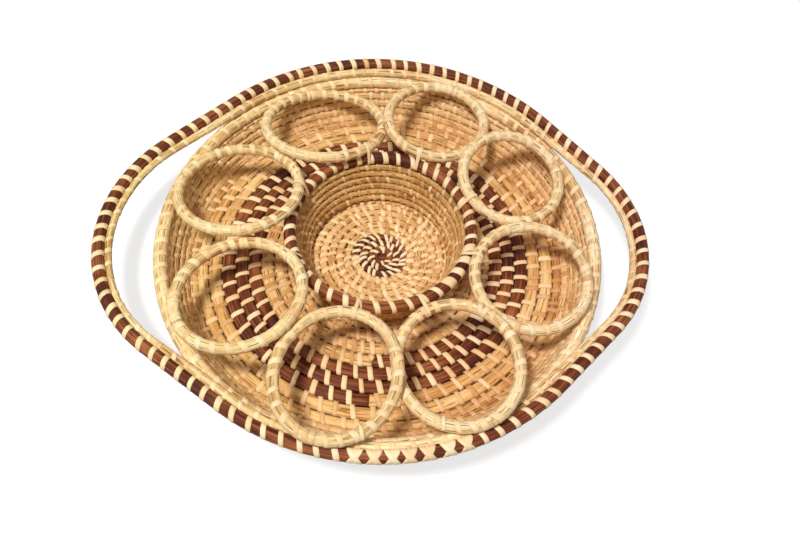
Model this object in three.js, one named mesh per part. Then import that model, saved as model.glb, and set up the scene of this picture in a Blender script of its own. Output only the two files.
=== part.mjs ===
// Coiled grass tray with a centre bowl, eight ring compartments and two bowed side handles.
// Millimetres, +Z up. The origin is on the table under the middle of the outline, handles along X.
// A coil is a bundle of grass or pine needles sewn to its own last turn; one turn is called a lap.
import * as THREE from "three";

// Gaps
const lapGap = 0.55; // between one lap and the next
const pieceGap = 0.3; // between separate pieces

// Floor: one coil wound outwards from the knot, first fine, then wide
const coilStartAngle = 89.2; // degrees from +X
const knotRadius = 5;
const floorThickness = 9;
const fineLapWidth = 6.7;
const wideLapWidth = 11.6;
const knotLaps = 2.25; // dark laps round the knot
const fineLaps = 7; // laps before the coil starts to widen
const wideningLaps = 2;
const bandStartLap = 11.5; // where the dark pine band starts
const bandLaps = 3;
const outerGrassLaps = 2;

// Wall: the floor's coil goes on up the side
const wallFootRadius = 169;
const wallBendRadius = 17;
const wallLean = 68; // degrees above level, past the bend
const wallLapWidth = 7.6;
const wallThickness = 8;
const wallLaps = 6;
const narrowingLaps = 1.25; // laps over which the coil goes from floor width to wall width
const narrowingLead = 0.75; // of which this many lie on the floor

// Edge and rim coils, each leaning out from the one below
const edgeCoilRadius = 5.75;
const rimGrassCoilRadius = 4;
const rimPineCoilRadius = 5.3;
const rimGrassLean = 68; // degrees above level, from the edge coil to the grass coil
const rimPineLean = 27; // degrees above level, from the grass coil to the pine coil

// Handles: the two rim coils leave the tray's edge on a straight run and turn on a round end.
// bow: how far the end stands out past the round rim. y: how far the end sits off the centre line.
const leftHandle = { bow: 36.3, endRadius: 141, y: -11.8 };
const rightHandle = { bow: 27.4, endRadius: 129, y: -3.2 };

// Centre bowl, a coiled wall that stands on the floor
const bowlFootRadius = 66.6;
const bowlLean = 71.5; // degrees above level
const bowlLapWidth = 6.45;
const bowlThickness = 7.6;
const bowlLaps = 6;
const bowlRimCoilRadius = 5.4;

// Ring compartments, lashed to the bowl rim, the wall and each other. They are wound by hand, so each is an
// oval of its own and leans its own way. Counted anticlockwise from +X, in degrees and millimetres:
// angle is the way to the ring's centre, out and height say where on that way it lies, along and across are
// the oval's half sizes on that way and square to it, tilt is its slope down outwards, and roll is its
// rise towards the next ring, on whose side it lies.
const ringCoilRadius = 5;
const rings = [
  { angle: 26.5, out: 134, height: 63, along: 47, across: 46, tilt: 3.5, roll: 11 },
  { angle: 69, out: 137, height: 62, along: 50, across: 47.5, tilt: 5, roll: 2.5 },
  { angle: 117, out: 132.5, height: 58.5, along: 54.5, across: 57.5, tilt: 11.5, roll: 8 },
  { angle: 166.5, out: 135.5, height: 61.5, along: 56, across: 51.5, tilt: 6.5, roll: 5 },
  { angle: 214.5, out: 139.5, height: 64.5, along: 53.5, across: 54, tilt: 2, roll: 8.5 },
  { angle: 259, out: 148.5, height: 64.5, along: 56, across: 48.5, tilt: -3.5, roll: -1.5 },
  { angle: 297, out: 147.5, height: 62, along: 55, across: 48, tilt: -6.5, roll: 11.5 },
  { angle: 341, out: 140.5, height: 59.5, along: 49.5, across: 52, tilt: 2.5, roll: 0 },
];

// Palm strip lashings
const stripWidth = 5;
const stripThickness = 0.8;
const stripGap = 0.8; // under a strip, where a straight stretch of coil bends away from it
const bowlStripStart = 195; // degrees round the bowl rim where a bowl lashing starts, 90 is on top
const bowlStripEnd = -35; // degrees round the ring where it ends
const wallStripEnd = 7.5; // how far from the edge coil's middle line a wall lashing ends

// How finely the round pieces are cut
const lapSteps = 24;
const lapSides = 6;
const rimSteps = 48;
const rimSides = 8;
const strapSteps = 8;
const searchSteps = 12; // to each side, where the nearest places of two coils are looked for
const searchRounds = 12;
const taperWidth = 1.2; // a coil's tapered end stops at this width
const leastArc = 0.1; // radians, the shortest way round the bowl rim that a lashing is given
const leastStretch = 0.3; // of a full step, the shortest stretch left beside a corner of the rim

const grassGold = new THREE.MeshStandardMaterial({ color: 0xd2a467, roughness: 0.7, metalness: 0 });
const pineBrown = new THREE.MeshStandardMaterial({ color: 0x6b3423, roughness: 0.62, metalness: 0 });
const palmStrip = new THREE.MeshStandardMaterial({ color: 0xead2a0, roughness: 0.6, metalness: 0 });

const radians = THREE.MathUtils.degToRad;
const zAxis = new THREE.Vector3(0, 0, 1);

// A section is a polygon of half width a along one axis and half thickness b along the other.
// Six sides on a lap give it a flat top and a flat bottom.
function section(sides, turn = 0) {
  return Array.from({ length: sides }, (_, j) => {
    const angle = (2 * Math.PI * j) / sides + turn;
    return [Math.cos(angle), Math.sin(angle)];
  });
}
const lapSection = section(lapSides);
const roundSection = section(rimSides, Math.PI / rimSides);
const strapSection = section(4, Math.PI / 4);
const flatHeight = Math.sin(Math.PI / 3); // of a six-sided section, as a share of b
const strapCorner = Math.SQRT1_2;

// A station is one cross-section of a swept piece: its centre, its two axes and its half sizes.
function sweep(stations, outline, closed) {
  const sides = outline.length;
  const points = [];
  for (const { centre, out, up, a, b } of stations) {
    for (const [c, s] of outline) {
      const point = centre.clone().addScaledVector(out, a * c).addScaledVector(up, b * s);
      points.push(point.x, point.y, point.z);
    }
  }
  const faces = [];
  const spans = closed ? stations.length : stations.length - 1;
  for (let i = 0; i < spans; i++) {
    const here = i * sides;
    const next = ((i + 1) % stations.length) * sides;
    for (let j = 0; j < sides; j++) {
      const k = (j + 1) % sides;
      faces.push(here + j, next + j, next + k, here + j, next + k, here + k);
    }
  }
  if (!closed) {
    const last = (stations.length - 1) * sides;
    for (let j = 1; j < sides - 1; j++) {
      faces.push(0, j, j + 1);
      faces.push(last, last + j + 1, last + j);
    }
  }
  const geometry = new THREE.BufferGeometry();
  geometry.setAttribute("position", new THREE.Float32BufferAttribute(points, 3));
  geometry.setIndex(faces);
  geometry.computeVertexNormals();
  return geometry;
}

// A station of a lap: angle round the tray in radians, place and lean in the radial plane
function lapStation(angle, radius, height, lean, width, thickness) {
  const outward = new THREE.Vector3(Math.cos(angle), Math.sin(angle), 0);
  const upward = new THREE.Vector3(0, 0, 1);
  return {
    centre: outward.clone().multiplyScalar(radius).addScaledVector(upward, height),
    out: outward.clone().multiplyScalar(Math.cos(lean)).addScaledVector(upward, Math.sin(lean)),
    up: outward.clone().multiplyScalar(-Math.sin(lean)).addScaledVector(upward, Math.cos(lean)),
    a: width / 2,
    b: thickness / 2 / flatHeight,
  };
}

// Floor and wall in one line, flat, then bent, then straight: the place at a reach along that line
function floorAndWallLine(reach) {
  const lean = radians(wallLean);
  const past = reach - wallFootRadius;
  if (past <= 0) {
    return { radius: reach, height: floorThickness / 2, lean: 0 };
  }
  const bent = Math.min(past / wallBendRadius, lean);
  const straight = Math.max(past - wallBendRadius * lean, 0);
  return {
    radius: wallFootRadius + wallBendRadius * Math.sin(bent) + straight * Math.cos(lean),
    height: floorThickness / 2 + wallBendRadius * (1 - Math.cos(bent)) + straight * Math.sin(lean),
    lean: bent,
  };
}

const outerStartLap = bandStartLap + bandLaps;
const wallStartLap = outerStartLap + outerGrassLaps;
const wallEndLap = wallStartLap + wallLaps;
const narrowingStartLap = wallStartLap - narrowingLead;

function share(value, from, length) {
  return THREE.MathUtils.clamp((value - from) / length, 0, 1);
}

function lapWidth(lap) {
  const wide = THREE.MathUtils.lerp(fineLapWidth, wideLapWidth, share(lap, fineLaps, wideningLaps));
  return THREE.MathUtils.lerp(wide, wallLapWidth, share(lap, narrowingStartLap, narrowingLaps));
}

function lapThickness(lap) {
  return THREE.MathUtils.lerp(floorThickness, wallThickness, share(lap, narrowingStartLap, narrowingLaps));
}

// How far out each step of the long coil lies. Its last lap tapers, so that the wall's top is level.
// After the first lap, each step lies one lap gap outside the step one lap before it.
const coilReach = [];
for (let k = 0; k <= wallEndLap * lapSteps; k++) {
  const before = coilReach[k - lapSteps];
  const beside = (lapWidth(k / lapSteps) + lapWidth(k / lapSteps - 1)) / 2 + lapGap;
  const first = knotRadius + pieceGap + fineLapWidth / 2 + (k / lapSteps) * (fineLapWidth + lapGap);
  coilReach.push(before === undefined ? first : before + beside);
}
const taperStart = Math.round((wallEndLap - 1) * lapSteps);
const wallTopReach = coilReach[taperStart] + wallLapWidth / 2;

function longCoil(fromLap, toLap) {
  const stations = [];
  for (let k = Math.round(fromLap * lapSteps); k <= Math.round(toLap * lapSteps); k++) {
    let reach = coilReach[k];
    let width = lapWidth(k / lapSteps);
    if (k > taperStart) {
      const lower = coilReach[k - lapSteps] + wallLapWidth / 2 + lapGap;
      width = wallTopReach - lower;
      reach = (wallTopReach + lower) / 2;
    }
    if (width < taperWidth) break;
    const { radius, height, lean } = floorAndWallLine(reach);
    const joint = k === Math.round(fromLap * lapSteps) && fromLap > 0 ? pieceGap / radius : 0;
    const angle = radians(coilStartAngle + (360 * k) / lapSteps) + joint;
    stations.push(lapStation(angle, radius, height, lean, width, lapThickness(k / lapSteps)));
  }
  return stations;
}

// The bowl's wall leans straight out. Its first and last laps taper, so it is level at foot and top.
function bowlLine(reach) {
  const lean = radians(bowlLean);
  const footHeight = floorThickness + pieceGap + (bowlThickness / 2) * Math.cos(lean);
  return {
    radius: bowlFootRadius + reach * Math.cos(lean),
    height: footHeight + reach * Math.sin(lean),
    lean,
  };
}
const bowlPitch = bowlLapWidth + lapGap;
const bowlTopReach = bowlLaps * bowlPitch;

function bowlCoil() {
  const stations = [];
  for (let k = 0; k <= (bowlLaps + 1) * lapSteps; k++) {
    const lap = k / lapSteps;
    const lower = Math.max((lap - 1) * bowlPitch, 0);
    const upper = Math.min(lap * bowlPitch, bowlTopReach);
    const width = upper - lower - lapGap;
    if (width < taperWidth) continue;
    const { radius, height, lean } = bowlLine((upper + lower) / 2);
    const angle = radians(coilStartAngle + (360 * k) / lapSteps);
    stations.push(lapStation(angle, radius, height, lean, width, bowlThickness));
  }
  return stations;
}

// A level closed ring of round coil
function roundCoil(radius, height, coilRadius, steps) {
  const stations = [];
  for (let k = 0; k < steps; k++) {
    const angle = radians(coilStartAngle + (360 * k) / steps);
    const outward = new THREE.Vector3(Math.cos(angle), Math.sin(angle), 0);
    const centre = outward.clone().multiplyScalar(radius).setZ(height);
    stations.push({ centre, out: outward, up: zAxis, a: coilRadius, b: coilRadius });
  }
  return stations;
}

// Least distance between the surface of a winding and its own next lap, measured on its points
function leastGap(stations, outline) {
  const rings = stations.map(({ centre, out, up, a, b }) =>
    outline.map(([c, s]) => centre.clone().addScaledVector(out, a * c).addScaledVector(up, b * s)));
  let least = Infinity;
  for (let i = 0; i + lapSteps < rings.length; i++) {
    for (const p of rings[i]) {
      for (const q of rings[i + lapSteps]) {
        least = Math.min(least, p.distanceTo(q));
      }
    }
  }
  return least;
}

// Edge coil on top of the wall, then the two rim coils
const edge = floorAndWallLine(wallTopReach + pieceGap + edgeCoilRadius);
function beyond(from, lean, distance) {
  const angle = radians(lean);
  return { radius: from.radius + distance * Math.cos(angle), height: from.height + distance * Math.sin(angle) };
}
const rimGrass = beyond(edge, rimGrassLean, edgeCoilRadius + rimGrassCoilRadius + pieceGap);
const rimPine = beyond(rimGrass, rimPineLean, rimGrassCoilRadius + rimPineCoilRadius + pieceGap);

// A handle's end circle: its centre and radius, for a coil that runs inset from the pine coil
function handleEnd(handle, side) {
  const reach = rimPine.radius + handle.bow;
  return { x: side * (reach - handle.endRadius), y: handle.y, radius: handle.endRadius };
}
const leftEnd = handleEnd(leftHandle, -1);
const rightEnd = handleEnd(rightHandle, 1);

// The outline of a rim coil: tray arcs at front and back, straight runs, and a round end at each side.
// tangentAngle is the direction, from both centres, of the points where a straight run meets the arcs.
function tangentAngle(end, side) {
  const distance = Math.hypot(end.x, end.y);
  return Math.atan2(end.y, end.x) + side * Math.acos((rimPine.radius - end.radius) / distance);
}

function rimLoop(place, coilRadius) {
  const inset = rimPine.radius - place.radius;
  const fullTurn = 2 * Math.PI;
  const step = fullTurn / rimSteps;
  const offset = radians(coilStartAngle) % step;
  const rightBack = tangentAngle(rightEnd, 1);
  const leftBack = (tangentAngle(leftEnd, -1) + fullTurn) % fullTurn;
  const leftFront = (tangentAngle(leftEnd, 1) + fullTurn) % fullTurn;
  const rightFront = (tangentAngle(rightEnd, -1) + fullTurn) % fullTurn;
  const stations = [];
  function place3(x, y, radius, angle) {
    const outward = new THREE.Vector3(Math.cos(angle), Math.sin(angle), 0);
    const centre = outward.clone().multiplyScalar(radius - inset).add(new THREE.Vector3(x, y, place.height));
    stations.push({ centre, out: outward, up: zAxis, a: coilRadius, b: coilRadius });
  }
  function trayArc(from, to) {
    place3(0, 0, rimPine.radius, from);
    const first = Math.ceil((from - offset) / step + leastStretch);
    for (let k = first; k * step + offset < to - leastStretch * step; k++) {
      place3(0, 0, rimPine.radius, k * step + offset);
    }
    place3(0, 0, rimPine.radius, to);
  }
  function endArc(end, from, to) {
    const count = Math.round((to - from) / step);
    for (let k = 0; k <= count; k++) {
      place3(end.x, end.y, end.radius, from + ((to - from) * k) / count);
    }
  }
  trayArc(rightBack, leftBack);
  endArc(leftEnd, leftBack, leftFront);
  trayArc(leftFront, rightFront);
  endArc(rightEnd, rightFront, rightBack + fullTurn);
  return stations;
}

const bowlRim = bowlLine(bowlTopReach + pieceGap + bowlRimCoilRadius);

// Lashings are flat strips bent in a plane. A path point has its place and the way the strip faces.
const strapLift = stripGap + stripThickness / 2;

function arcPath(centre, radius, from, to) {
  return Array.from({ length: strapSteps + 1 }, (_, k) => {
    const angle = from + ((to - from) * k) / strapSteps;
    const facing = [Math.cos(angle), Math.sin(angle)];
    return { place: [centre[0] + radius * facing[0], centre[1] + radius * facing[1]], facing };
  });
}

// across and high are the plane's two directions; the strip's width runs square to them
function strap(path, across, high, origin, closed) {
  const turn = Math.sign(path[0].facing[0] * path[1].facing[1] - path[0].facing[1] * path[1].facing[0]);
  const side = new THREE.Vector3().crossVectors(across, high).multiplyScalar(turn);
  const stations = path.map(({ place, facing }) => ({
    centre: origin.clone().addScaledVector(across, place[0]).addScaledVector(high, place[1]),
    out: across.clone().multiplyScalar(facing[0]).addScaledVector(high, facing[1]),
    up: side,
    a: stripThickness / 2 / strapCorner,
    b: stripWidth / 2 / strapCorner,
  }));
  return sweep(stations, strapSection, closed);
}

// The middle line of a level round coil, and of a ring, as a place for each angle
function levelLine({ radius, height }) {
  return (angle) => new THREE.Vector3(radius * Math.cos(angle), radius * Math.sin(angle), height);
}

function ringLine(ring, { along, across }) {
  return (angle) => new THREE.Vector3(along * Math.cos(angle), across * Math.sin(angle), 0).applyMatrix4(ring.matrix);
}

// Where two coils come nearest: the place on the first, the way across to the second, the way along both,
// and how far each turns from that. The search starts wide and narrows round the best pair of angles.
function meeting(firstLine, secondLine) {
  let best = { gap: Infinity, first: 0, second: 0 };
  let span = Math.PI;
  for (let round = 0; round < searchRounds; round++) {
    const { first, second } = best;
    for (let i = -searchSteps; i <= searchSteps; i++) {
      const a = first + (span * i) / searchSteps;
      for (let j = -searchSteps; j <= searchSteps; j++) {
        const b = second + (span * j) / searchSteps;
        const gap = firstLine(a).distanceTo(secondLine(b));
        if (gap < best.gap) best = { gap, first: a, second: b };
      }
    }
    span /= 3;
  }
  const way = (line, angle) => line(angle - span).sub(line(angle + span)).normalize();
  const origin = firstLine(best.first);
  const across = secondLine(best.second).sub(origin).normalize();
  const firstWay = way(firstLine, best.first);
  const secondWay = way(secondLine, best.second);
  if (firstWay.dot(secondWay) < 0) secondWay.negate();
  const along = firstWay.clone().add(secondWay);
  along.addScaledVector(across, -along.dot(across)).normalize();
  const high = new THREE.Vector3().crossVectors(along, across);
  return { origin, across, high, gap: best.gap, turn: firstWay.angleTo(secondWay) / 2 };
}

// How far a strip runs from the middle line of a coil that turns away from it
function strapReach(coilRadius, turn) {
  return coilRadius / Math.cos(turn) + (stripWidth / 2) * Math.tan(turn) + strapLift;
}

const quarterTurn = Math.PI / 2;

// From inside the bowl, over its rim coil and over the ring, down into the compartment
function bowlLashing(ring) {
  const { origin, across, high, gap, turn } = meeting(levelLine(bowlRim), ring);
  const rimReach = strapReach(bowlRimCoilRadius, turn);
  const ringReach = strapReach(ringCoilRadius, turn);
  const slope = Math.atan2(across.z, high.z);
  const touch = Math.acos((rimReach - ringReach) / gap);
  const start = radians(bowlStripStart) - slope;
  const rimArc = arcPath([0, 0], rimReach, start, touch);
  const path = [
    ...(start > touch + leastArc ? rimArc : rimArc.slice(-1)),
    ...arcPath([gap, 0], ringReach, touch, radians(bowlStripEnd) - slope),
  ];
  return strap(path, across, high, origin, false);
}

// Over the ring from its outer side, then down its inner side to the edge coil
function wallLashing(ring) {
  const { origin, across, high, gap, turn } = meeting(levelLine(edge), ring);
  const reach = strapReach(ringCoilRadius, turn);
  const path = [
    { place: [wallStripEnd, reach], facing: [0, 1] },
    ...arcPath([gap, 0], reach, quarterTurn, -quarterTurn),
  ];
  return strap(path, across, high, origin, false);
}

// Round two neighbouring rings
function pairLashing(ring, nextRing) {
  const { origin, across, high, gap, turn } = meeting(ring, nextRing);
  const reach = strapReach(ringCoilRadius, turn);
  const path = [
    ...arcPath([gap, 0], reach, quarterTurn, -quarterTurn),
    ...arcPath([0, 0], reach, -quarterTurn, -3 * quarterTurn),
  ];
  return strap(path, across, high, origin, true);
}

const tray = new THREE.Group();
// The left handle bows further than the right, so the tray stands a little to the right of the origin.
tray.position.x = (leftHandle.bow - rightHandle.bow) / 2;

function addPiece(name, geometry, material, parent = tray) {
  const mesh = new THREE.Mesh(geometry, material);
  mesh.name = name;
  parent.add(mesh);
  return mesh;
}

function addWinding(name, stations, material) {
  addPiece(name, sweep(stations, lapSection, false), material);
  const laps = (stations.length - 1) / lapSteps;
  if (laps > 1) {
    const gap = leastGap(stations, lapSection).toFixed(2);
    console.log(`${name}: ${laps.toFixed(2)} laps, least gap to itself ${gap} mm`);
  }
}

const knot = addPiece(
  "start_knot",
  new THREE.CylinderGeometry(knotRadius, knotRadius, floorThickness, lapSteps),
  pineBrown,
);
knot.rotation.x = Math.PI / 2;
knot.position.z = floorThickness / 2;

addWinding("knot_pine_coil", longCoil(0, knotLaps), pineBrown);
addWinding("floor_grass_coil", longCoil(knotLaps, bandStartLap), grassGold);
addWinding("floor_pine_band", longCoil(bandStartLap, outerStartLap), pineBrown);
addWinding("floor_outer_grass_coil", longCoil(outerStartLap, wallStartLap), grassGold);
addWinding("wall_grass_coil", longCoil(wallStartLap, wallEndLap), grassGold);
addWinding("bowl_wall_coil", bowlCoil(), grassGold);

addPiece("bowl_rim_pine_coil",
  sweep(roundCoil(bowlRim.radius, bowlRim.height, bowlRimCoilRadius, rimSteps / 2), roundSection, true), pineBrown);
addPiece("tray_edge_coil",
  sweep(roundCoil(edge.radius, edge.height, edgeCoilRadius, rimSteps), roundSection, true), grassGold);
addPiece("rim_grass_coil", sweep(rimLoop(rimGrass, rimGrassCoilRadius), roundSection, true), grassGold);
addPiece("rim_pine_coil", sweep(rimLoop(rimPine, rimPineCoilRadius), roundSection, true), pineBrown);

const ringLines = rings.map((oval, i) => {
  const stations = [];
  for (let k = 0; k < lapSteps; k++) {
    const angle = (2 * Math.PI * k) / lapSteps;
    const centre = new THREE.Vector3(oval.along * Math.cos(angle), oval.across * Math.sin(angle), 0);
    const outward = new THREE.Vector3(oval.across * Math.cos(angle), oval.along * Math.sin(angle), 0).normalize();
    stations.push({ centre, out: outward, up: zAxis, a: ringCoilRadius, b: ringCoilRadius });
  }
  const ring = addPiece(`compartment_ring_${i + 1}`, sweep(stations, roundSection, true), grassGold);
  const angle = radians(oval.angle);
  ring.position.set(oval.out * Math.cos(angle), oval.out * Math.sin(angle), oval.height);
  ring.rotation.set(radians(oval.roll), radians(oval.tilt), angle, "ZYX");
  ring.updateMatrix();
  return ringLine(ring, oval);
});

ringLines.forEach((line, i) => {
  const nextLine = ringLines[(i + 1) % ringLines.length];
  addPiece(`ring_bowl_lashing_${i + 1}`, bowlLashing(line), palmStrip);
  addPiece(`ring_wall_lashing_${i + 1}`, wallLashing(line), palmStrip);
  addPiece(`ring_pair_lashing_${i + 1}`, pairLashing(line, nextLine), palmStrip);
});

export default tray;
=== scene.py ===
# Coiled grass tray: grass and pine-needle coils sewn with palm strips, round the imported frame.
# Sizes are in millimetres and turn into metres where a mesh is made. A lap is one turn of a coil.
import math
import random

import bmesh
import bpy
from mathutils import Matrix, Vector, noise


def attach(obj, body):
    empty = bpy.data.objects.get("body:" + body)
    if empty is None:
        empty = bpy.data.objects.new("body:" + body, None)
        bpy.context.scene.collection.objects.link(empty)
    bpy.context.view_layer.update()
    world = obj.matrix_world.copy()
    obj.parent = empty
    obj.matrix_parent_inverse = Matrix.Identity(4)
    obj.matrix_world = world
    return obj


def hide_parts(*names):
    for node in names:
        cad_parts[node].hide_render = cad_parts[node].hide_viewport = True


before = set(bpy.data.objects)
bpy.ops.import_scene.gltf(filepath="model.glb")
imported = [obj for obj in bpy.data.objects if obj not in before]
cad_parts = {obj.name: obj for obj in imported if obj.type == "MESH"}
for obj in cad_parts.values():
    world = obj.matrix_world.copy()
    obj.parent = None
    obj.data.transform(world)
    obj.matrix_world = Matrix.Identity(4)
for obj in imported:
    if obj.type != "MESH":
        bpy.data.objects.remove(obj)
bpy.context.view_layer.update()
print("frame loaded,", len(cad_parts), "nodes")

mm = 0.001
fullTurn, quarterTurn = 2 * math.pi, math.pi / 2
zAxis = Vector((0, 0, 1))
tray = {
    "shift": Vector((4.45, 0, 0)),  # the round part stands off the middle, as the handles differ
    "lapGap": 0.55, "pieceGap": 0.3,  # between laps and between pieces, as in the solids
    "pressed": 0.35,  # how far neighbouring laps press into each other
    "underside": 0.3,  # a coil's lowest height
    "leastWidth": 1.2,  # a tapering lap ends here
    "leastSteps": 8,  # of any line
    "weld": 1e-7,  # in metres
}


def mix(a, b, share):
    return a + (b - a) * share


def clampShare(value, start, length):
    return min(max((value - start) / length, 0.0), 1.0)


# Shader helpers

class Signal:  # one output socket, with arithmetic that adds Math nodes
    def __init__(self, paint, socket):
        self.paint = paint
        self.socket = socket

    def combine(self, operation, first, second):
        return self.paint.add("ShaderNodeMath", {"operation": operation}, {0: first, 1: second})

    def __add__(self, other):
        return self.combine("ADD", self, other)

    def __sub__(self, other):
        return self.combine("SUBTRACT", self, other)

    def __rsub__(self, other):
        return self.combine("SUBTRACT", other, self)

    def __mul__(self, other):
        return self.combine("MULTIPLY", self, other)

    __radd__ = __add__
    __rmul__ = __mul__


class Paint:  # the nodes of a material, or of the world, under construction
    def __init__(self, owner, shader="Principled BSDF"):
        owner.use_nodes = True
        self.owner = owner
        self.tree = owner.node_tree
        self.shader = self.tree.nodes[shader]

    def add(self, kind, settings, inputs, output=0):
        node = self.tree.nodes.new(kind)
        for key, value in settings.items():
            if key == "stops":
                ramp = node.color_ramp
                while len(ramp.elements) < len(value):
                    ramp.elements.new(1.0)
                for element, (place, colour) in zip(ramp.elements, value):
                    element.position = place
                    element.color = (*colour, 1.0)
            else:
                setattr(node, key, value)
        for key, value in inputs.items():
            self.feed(node.inputs[key], value)
        return Signal(self, node.outputs[output])

    def feed(self, socket, value):
        if isinstance(value, Signal):
            self.tree.links.new(value.socket, socket)
        elif isinstance(value, tuple) and len(value) == 3 and socket.type == "RGBA":
            socket.default_value = (*value, 1.0)
        else:
            socket.default_value = value

    def grain(self, uv, along, across, detail=2.0, rough=0.5):  # noise, drawn out along the coil
        drawn = self.add("ShaderNodeMapping", {}, {"Vector": uv, "Scale": (along, across, 1.0)})
        return self.add("ShaderNodeTexNoise", {}, {
            "Vector": drawn, "Scale": 1.0, "Detail": detail, "Roughness": rough})

    def mark(self, name):
        return self.add("ShaderNodeAttribute", {"attribute_name": name}, {}, "Fac")

    def ramp(self, factor, stops):
        return self.add("ShaderNodeValToRGB", {"stops": stops}, {"Fac": factor})

    def blend(self, factor, first, second, kind="MIX"):  # 6, 7 and 2 are a Mix node's colours
        return self.add("ShaderNodeMix", {"data_type": "RGBA", "blend_type": kind}, {
            0: factor, 6: first, 7: second}, 2)

    def rescale(self, value, fromLow, fromHigh, toLow=0.0, toHigh=1.0):
        return self.add("ShaderNodeMapRange", {}, {
            "Value": value, "From Min": fromLow, "From Max": fromHigh,
            "To Min": toLow, "To Max": toHigh})

    def finish(self, **inputs):
        for key, value in inputs.items():
            self.feed(self.shader.inputs[key.replace("_", " ")], value)
        return self.owner


def linear(red, green, blue):  # a screen colour, 0 to 255, as the shader wants it
    def channel(value):
        share = value / 255
        return share / 12.92 if share <= 0.04045 else ((share + 0.055) / 1.055) ** 2.4
    return tuple(channel(value) for value in (red, green, blue))


# Fibre and palm. Scales are per metre, along and across a coil.
bundle = {
    "strand": 780, "strandLength": 34, "strandRough": 0.6,
    "toneWidth": 0.45, "toneLength": 0.6,  # broad tones, as shares of the strands' scales
    "patch": (45, 120), "tones": 0.45, "strands": 0.3, "patches": 0.25, "tint": 0.35,
    "toneSpan": (0.34, 0.66), "midStop": 0.45, "lineSpan": (0.45, 0.36), "lineShare": 0.75,
    "creaseShadeSpan": (0.35, 0.95), "creaseShadeShare": 0.95,
    "bump": 0.6, "toneRelief": 0.5, "depth": 0.0007, "gloss": 0.2,
    "rough": (0.56, 0.78), "roughSpan": (0.3, 0.7),
}
# Each fibre's crease colour is painted shade, laid where a lap presses into its neighbour
fibre = {
    "straw": {
        **bundle, "bump": 0.5, "creaseShadeShare": 0.8,
        # Painted light: the straw coils turn paler to the tray's right, as in brighter light
        "right": (1.05, 1.13, 1.26),  # paler to the tray's right
        "dark": linear(180, 132, 76), "mid": linear(232, 194, 138), "light": linear(251, 227, 180),
        "line": linear(104, 60, 24), "crease": linear(90, 50, 18),
    },
    "golden": {
        **bundle,
        "dark": linear(190, 134, 72), "mid": linear(228, 178, 116), "light": linear(246, 210, 152),
        "line": linear(112, 64, 24), "crease": linear(70, 34, 8),
    },
    "wall": {
        **bundle, "lineShare": 0.8,
        "dark": linear(160, 108, 54), "mid": linear(202, 150, 94), "light": linear(240, 200, 144),
        "line": linear(108, 62, 24), "crease": linear(66, 34, 10),
    },
    "bowl": {
        **bundle,
        "dark": linear(150, 104, 50), "mid": linear(204, 156, 94), "light": linear(240, 204, 142),
        "line": linear(96, 56, 20), "crease": linear(58, 30, 8),
    },
    "pine": {
        **bundle, "strand": 900, "strandLength": 22, "creaseShadeShare": 0.8, "rough": (0.5, 0.72),
        "dark": linear(56, 17, 5), "mid": linear(106, 48, 24), "light": linear(172, 104, 64),
        "line": linear(30, 8, 2), "crease": linear(26, 7, 2),
    },
}
# The palm's crease colour is painted shade along the strips' edges and where they dip between laps
palm = {
    "worn": linear(204, 150, 98), "straw": linear(245, 206, 160), "pale": linear(252, 231, 196),
    "stops": (0.05, 0.4, 0.85), "vein": (60, 1600), "patch": (260, 260),
    "tint": 0.75, "patches": 0.35, "veins": 0.25, "darker": 0.2,
    "crease": linear(112, 66, 30), "creaseShadeSpan": (0.45, 0.95), "creaseShadeShare": 0.8,
    "bump": 0.35, "depth": 0.0003, "gloss": 0.25, "rough": (0.54, 0.7), "roughSpan": (0.3, 0.7),
}
# Painted light and shade across the tray: greener and darker to the left, as in shade, and redder
# to the right
paintedSideLight = {  # greener to the tray's left and redder to its right, unless a fibre says otherwise
    "left": (0.97, 1.0, 0.86), "right": (1.0, 0.96, 0.92), "reach": 0.22, "wander": 0.3,
}


# What fibre and palm share: painted shade in the creases, painted light and shade to either side of
# the tray, relief and roughness
def finishSurface(paint, colour, patches, relief, dull, look):
    # Painted shade: the colour runs to the crease colour in the creases between laps and under the
    # strips' edges
    crease = paint.rescale(paint.mark("crease"), *look["creaseShadeSpan"], 0.0, look["creaseShadeShare"])
    colour = paint.blend(crease, colour, look["crease"])
    # Painted light and shade by side: the colour is multiplied by a tint running from the tray's
    # left to its right
    place = paint.add("ShaderNodeTexCoord", {}, {}, "Object")
    side = paint.add("ShaderNodeSeparateXYZ", {}, {"Vector": place}, "X")
    side = side + (patches - 0.5) * paintedSideLight["wander"]
    shade = paint.blend(paint.rescale(side, -paintedSideLight["reach"], paintedSideLight["reach"]),
                        paintedSideLight["left"], look.get("right", paintedSideLight["right"]))
    bump = paint.add("ShaderNodeBump", {}, {
        "Height": relief, "Strength": look["bump"], "Distance": look["depth"]})
    return paint.finish(
        Base_Color=paint.blend(1.0, colour, shade, "MULTIPLY"),
        Roughness=paint.rescale(dull, *look["roughSpan"], *look["rough"]),
        Normal=bump, Specular_IOR_Level=look["gloss"])


def makeFibre(name, look):  # long strands run along the coil's own UV map
    paint = Paint(bpy.data.materials.new(name))
    uv = paint.add("ShaderNodeUVMap", {"uv_map": "coil"}, {})
    along, across = look["strandLength"], look["strand"]
    strands = paint.grain(uv, along, across, rough=look["strandRough"])
    tones = paint.grain(uv, along * look["toneLength"], across * look["toneWidth"], detail=1.0)
    patches = paint.grain(uv, *look["patch"])
    tone = (tones * look["tones"] + strands * look["strands"] + patches * look["patches"]
            + (paint.mark("tint") - 0.5) * look["tint"])
    colour = paint.ramp(paint.rescale(tone, *look["toneSpan"]), [
        (0.0, look["dark"]), (look["midStop"], look["mid"]), (1.0, look["light"])])
    line = paint.rescale(strands, *look["lineSpan"], 0.0, look["lineShare"])
    colour = paint.blend(line, colour, look["line"])
    return finishSurface(paint, colour, patches, strands + tones * look["toneRelief"], tones, look)


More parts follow.
